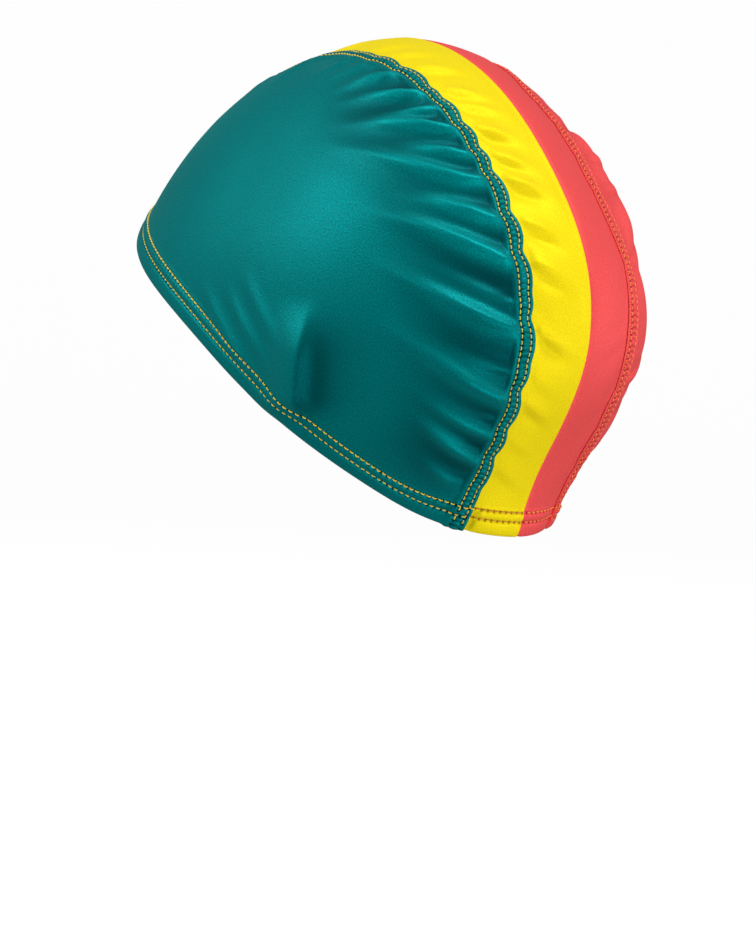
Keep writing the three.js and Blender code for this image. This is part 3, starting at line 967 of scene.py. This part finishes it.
def stitchTree():
    tree = bpy.data.node_groups.new("stitchRow", "GeometryNodeTree")
    interface = tree.interface
    interface.new_socket("Geometry", in_out="INPUT", socket_type="NodeSocketGeometry")
    sizes = (("Stitch Length", 0.0014), ("Thread Radius", 0.0002), ("Arch Rise", 0.0002))
    for label, value in sizes:
        socket = interface.new_socket(label, in_out="INPUT", socket_type="NodeSocketFloat")
        socket.default_value = value
    interface.new_socket("Thread", in_out="INPUT", socket_type="NodeSocketMaterial")
    interface.new_socket("Geometry", in_out="OUTPUT", socket_type="NodeSocketGeometry")
    nodes, links = tree.nodes, tree.links
    given = nodes.new("NodeGroupInput")
    result = nodes.new("NodeGroupOutput")

    def vector(x, y, z):
        node = nodes.new("ShaderNodeCombineXYZ")
        for value, socket in zip((x, y, z), node.inputs):
            link(tree, value, socket)
        return node.outputs[0]

    half = calc(tree, "MULTIPLY", given.outputs["Stitch Length"], 0.5)
    arch = nodes.new("GeometryNodeCurveQuadraticBezier")
    arch.inputs["Resolution"].default_value = stitch["steps"]
    sunk = calc(tree, "MULTIPLY", given.outputs["Thread Radius"], -0.9)
    top = calc(tree, "MULTIPLY", given.outputs["Arch Rise"], 3.0)
    links.new(vector(calc(tree, "MULTIPLY", half, -1.0), 0.0, sunk), arch.inputs["Start"])
    links.new(vector(0.0, 0.0, top), arch.inputs["Middle"])
    links.new(vector(half, 0.0, sunk), arch.inputs["End"])
    section = nodes.new("GeometryNodeCurvePrimitiveCircle")
    section.inputs["Resolution"].default_value = stitch["sides"]
    links.new(given.outputs["Thread Radius"], section.inputs["Radius"])
    thread = nodes.new("GeometryNodeCurveToMesh")
    thread.inputs["Fill Caps"].default_value = True
    links.new(arch.outputs[0], thread.inputs["Curve"])
    links.new(section.outputs[0], thread.inputs["Profile Curve"])
    shaded = nodes.new("GeometryNodeSetShadeSmooth")
    links.new(thread.outputs[0], shaded.inputs["Geometry"])

    def named(label):
        node = nodes.new("GeometryNodeInputNamedAttribute")
        node.data_type = "FLOAT_VECTOR"
        node.inputs["Name"].default_value = label
        return node.outputs["Attribute"]

    turned = nodes.new("FunctionNodeAxesToRotation")
    turned.primary_axis = "Z"
    turned.secondary_axis = "X"
    links.new(named("up"), turned.inputs[0])
    links.new(named("onward"), turned.inputs[1])
    spread = nodes.new("GeometryNodeInstanceOnPoints")
    links.new(given.outputs["Geometry"], spread.inputs["Points"])
    links.new(shaded.outputs[0], spread.inputs["Instance"])
    links.new(turned.outputs[0], spread.inputs["Rotation"])
    scale = nodes.new("FunctionNodeRandomValue")
    scale.data_type = "FLOAT"
    scale.inputs[2].default_value = 0.93
    scale.inputs[3].default_value = 1.05
    scale.inputs["Seed"].default_value = 5
    links.new(vector(scale.outputs[1], 1.0, 1.0), spread.inputs["Scale"])
    realized = nodes.new("GeometryNodeRealizeInstances")
    links.new(spread.outputs[0], realized.inputs[0])
    dressed = nodes.new("GeometryNodeSetMaterial")
    links.new(realized.outputs[0], dressed.inputs["Geometry"])
    links.new(given.outputs["Thread"], dressed.inputs["Material"])
    links.new(dressed.outputs[0], result.inputs[0])
    return tree


stitchRow = stitchTree()


def sewn(name, rows, pitch, radius, material):
    # rows holds for each row its points, normals and directions
    points = np.concatenate([row[0] for row in rows])
    mesh = bpy.data.meshes.new(name + "Path")
    mesh.from_pydata((points * metre).tolist(), [], [])
    for key, column in (("up", 1), ("onward", 2)):
        attribute = mesh.attributes.new(key, "FLOAT_VECTOR", "POINT")
        values = np.concatenate([row[column] for row in rows]).astype(np.float32)
        attribute.data.foreach_set("vector", values.ravel())
    path = bpy.data.objects.new(name + "Path", mesh)
    scene.collection.objects.link(path)
    modifier = path.modifiers.new("stitches", "NODES")
    modifier.node_group = stitchRow
    settings = {
        "Stitch Length": pitch * stitch["share"] * metre,
        "Thread Radius": radius * metre,
        "Arch Rise": stitch["rise"] * metre,
        "Thread": material,
    }
    for item in stitchRow.interface.items_tree:
        if item.in_out == "INPUT" and item.name in settings:
            modifier[item.identifier] = settings[item.name]
    graph = bpy.context.evaluated_depsgraph_get()
    finished = bpy.data.meshes.new_from_object(path.evaluated_get(graph))
    finished.name = name
    bpy.data.objects.remove(path)
    piece = bpy.data.objects.new(name, finished)
    scene.collection.objects.link(piece)
    print(name, len(points), "stitches")
    return piece


def rowFrame(points, normals, side):
    points, normals = points.copy(), normals.copy()
    points[:, 0] *= side
    normals[:, 0] *= side
    onward = unit(np.gradient(points, axis=0))
    return points, normals, onward


def surfaceAt(way, heights):
    return onForm(way) + formNormal(way) * heights[:, None], formNormal(way)


def lapStitches(folds, side, seed):
    rows = []
    for distance in lap["rows"]:
        browTurn = turnOf(aboveHem(bandAzimuth(0.6, distance, True), 0.6))
        napeTurn = turnOf(aboveHem(bandAzimuth(0.6, distance, False), 0.6))
        first = np.interp(browTurn, seamTurns, seamArc) / lap["pitch"]
        last = np.interp(napeTurn, seamTurns, seamArc) / lap["pitch"]
        counts = np.arange(math.ceil(first - 0.5), math.floor(last - 0.5)) + 0.5
        turn = np.interp(counts * lap["pitch"], seamArc, seamTurns)
        shares = (turn - browTurn) / (napeTurn - browTurn)
        fade = smooth((shares - 0.03) / 0.03) * smooth((0.97 - shares) / 0.03)
        lapEnd = lap["width"] + lap["slope"]
        wave = seamWave(turn, folds) * (1 - distance / lapEnd) * fade
        way = fan(turn, leanPast(turn, distance + wave))
        height = np.clip(hemDistance(way), 0, None)
        outer, _ = panelHeights(way, distance + 0 * turn, height, folds, seed)
        rows.append(rowFrame(*surfaceAt(way, outer + 0.12), side))
    return rows


def hemStitches(height):
    # Counts run from the brow to the nape on each side; rows are split where the lap meets the strip
    total = math.floor(hemArc[-1] / hem["pitch"])
    azimuth = np.interp((np.arange(total) + 0.5) * hem["pitch"], hemArc, hemAzimuths)
    way = aboveHem(azimuth, height)
    distance = pastSeam(way)
    onPanel = distance > 0
    parts = []
    for folds, seed, lip, side in ((leftFolds, 3, 0.3, 1), (rightFolds, 8, 0.0, -1)):
        panel, _ = panelHeights(way, np.abs(distance), height + 0 * distance, folds, seed)
        band, _ = stripHeights(way, distance, height + 0 * distance, folds, lip)
        row = rowFrame(*surfaceAt(way, np.where(onPanel, panel, band) + 0.12), side)
        parts.append([column[onPanel] for column in row])
        parts.append([column[~onPanel] for column in row])
    return parts


onLapSizes, onHemSizes = (lap["pitch"], stitch["onLap"]), (hem["pitch"], stitch["onHem"])
leftLapStitches = sewn("leftLapStitches", lapStitches(leftFolds, 1, 3), *onLapSizes, goldThread)
rightLapStitches = sewn("rightLapStitches", lapStitches(rightFolds, -1, 8), *onLapSizes, orangeThread)
hemRows = [hemStitches(height) for height in hem["rows"]]
leftHemStitches = sewn("leftHemStitches", [row[0] for row in hemRows], *onHemSizes, goldThread)
yellowHemStitches = sewn("yellowHemStitches", [row[1] for row in hemRows], *onHemSizes, brownThread)
rightHemStitches = sewn("rightHemStitches", [row[2] for row in hemRows], *onHemSizes, orangeThread)
coralHemStitches = sewn("coralHemStitches", [row[3] for row in hemRows], *onHemSizes, orangeThread)

# Camera, at the angle of the photograph, aimed so that no lens shift is needed

view = {
    "azimuth": 139.22,
    "elevation": 2.67,
    "roll": 3.24,
    "distance": 1600.0,
    "pixelsPerMm": 2.9,
    "originPixel": (393.8, 320.8),
    "imageSize": (756, 945),
}


def makeCamera():
    azimuth, elevation, roll = (math.radians(view[key]) for key in ("azimuth", "elevation", "roll"))
    flat = math.cos(elevation)
    back = Vector((math.sin(azimuth) * flat, -math.cos(azimuth) * flat, math.sin(elevation)))
    level = (-back).cross(Vector((0, 0, 1))).normalized()
    rise = level.cross(-back)
    right = level * math.cos(roll) + rise * math.sin(roll)
    up = rise * math.cos(roll) - level * math.sin(roll)
    focal = view["pixelsPerMm"] * view["distance"]
    wide, tall = view["imageSize"]
    aim = Vector((view["originPixel"][0] - wide / 2, tall / 2 - view["originPixel"][1], -focal))
    turn = aim.rotation_difference(Vector((0, 0, -1))).to_matrix()
    axes = Matrix((right, up, back)).transposed() @ turn
    data = bpy.data.cameras.new("camera")
    data.sensor_width = 36
    data.lens = focal * 36 / tall
    data.clip_end = 50
    camera = bpy.data.objects.new("camera", data)
    camera.matrix_world = Matrix.Translation(back * view["distance"] * metre) @ axes.to_4x4()
    scene.collection.objects.link(camera)
    scene.camera = camera


makeCamera()

# Studio: a pale floor that turns up all round, and soft lights

studio = {"floorDrop": 0.30, "flatRadius": 2.6, "coveRadius": 1.2, "height": 3.5}


def makeFloor():
    drop, flat, cove = studio["floorDrop"], studio["flatRadius"], studio["coveRadius"]
    profile = [(flat, 0.0)]
    for step in range(1, 13):
        angle = math.pi / 2 * step / 12
        profile.append((flat + cove * math.sin(angle), cove * (1 - math.cos(angle))))
    profile.append((flat + cove, studio["height"]))
    sides = 96
    points = [(0, 0, -drop)]
    for radius, height in profile:
        for k in range(sides):
            angle = 2 * math.pi * k / sides
            x, y = radius * math.cos(angle), radius * math.sin(angle)
            points.append((x, y, height - drop))
    faces = [(0, 1 + k, 1 + (k + 1) % sides) for k in range(sides)]
    for ring in range(len(profile) - 1):
        low, high = 1 + ring * sides, 1 + (ring + 1) * sides
        for k in range(sides):
            after = (k + 1) % sides
            faces.append((low + k, high + k, high + after, low + after))
    mesh = bpy.data.meshes.new("floor")
    mesh.from_pydata(points, [], faces)
    mesh.polygons.foreach_set("use_smooth", [True] * len(faces))
    material, _, shader = newMaterial("paleFloor")
    shader.inputs["Base Color"].default_value = (0.3, 0.3, 0.3, 1)
    shader.inputs["Roughness"].default_value = 0.9
    shader.inputs["Emission Color"].default_value = (1, 1, 1, 1)
    shader.inputs["Emission Strength"].default_value = 0.88
    mesh.materials.append(material)
    floor = bpy.data.objects.new("floor", mesh)
    scene.collection.objects.link(floor)
    floor.visible_diffuse = False  # the cap is lit by the lamps and the air, not by the floor
    floor.visible_glossy = False
    floor.visible_shadow = False


makeFloor()

lights = [  # name, place and size in metres, power in watts; each faces the cap
    ("keyLight", (1.43, -0.64, 1.02), 0.9, 17),
    ("sideLight", (1.3, -0.85, -0.35), 0.8, 9),
    ("backLight", (-0.23, 0.88, 1.5), 0.6, 17),
    ("lowLight", (-0.1, 1.58, -0.3), 0.8, 5),
    ("floorLight", (0.08, 0.44, -0.27), 0.4, 1.0),
    ("rimLight", (-1.3, 1.0, 0.0), 0.8, 5),
    ("topLight", (0.1, 0.1, 1.8), 0.8, 5.5),
]
for name, spot, size, power in lights:
    data = bpy.data.lights.new(name, "AREA")
    data.shape = "DISK"
    data.size = size
    data.energy = power
    lamp = bpy.data.objects.new(name, data)
    lamp.location = spot
    lamp.rotation_euler = (-Vector(spot)).to_track_quat("-Z", "Y").to_euler()
    lamp.visible_glossy = name != "sideLight"  # that one only lifts the shade
    scene.collection.objects.link(lamp)

world = bpy.data.worlds.new("studioAir")
world.use_nodes = True
world.node_tree.nodes["Background"].inputs["Color"].default_value = (1, 1, 1, 1)
world.node_tree.nodes["Background"].inputs["Strength"].default_value = 0.19
scene.world = world
print("camera, floor and lights set")

# Riding and replacing

for piece, node, slot in (
    (leftPanel, "left_panel", "teal_cloth"),
    (rightPanel, "right_panel", "coral_cloth"),
    (yellowStrip, "yellow_strip", "yellow_cloth"),
    (coralStrip, "coral_strip", "coral_cloth"),
):
    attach(piece, "root")
    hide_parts(node)
for piece, slot in (
    (leftLapStitches, "teal_cloth"),
    (rightLapStitches, "coral_cloth"),
    (leftHemStitches, "teal_cloth"),
    (yellowHemStitches, "yellow_cloth"),
    (rightHemStitches, "coral_cloth"),
    (coralHemStitches, "coral_cloth"),
):
    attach(piece, "root")
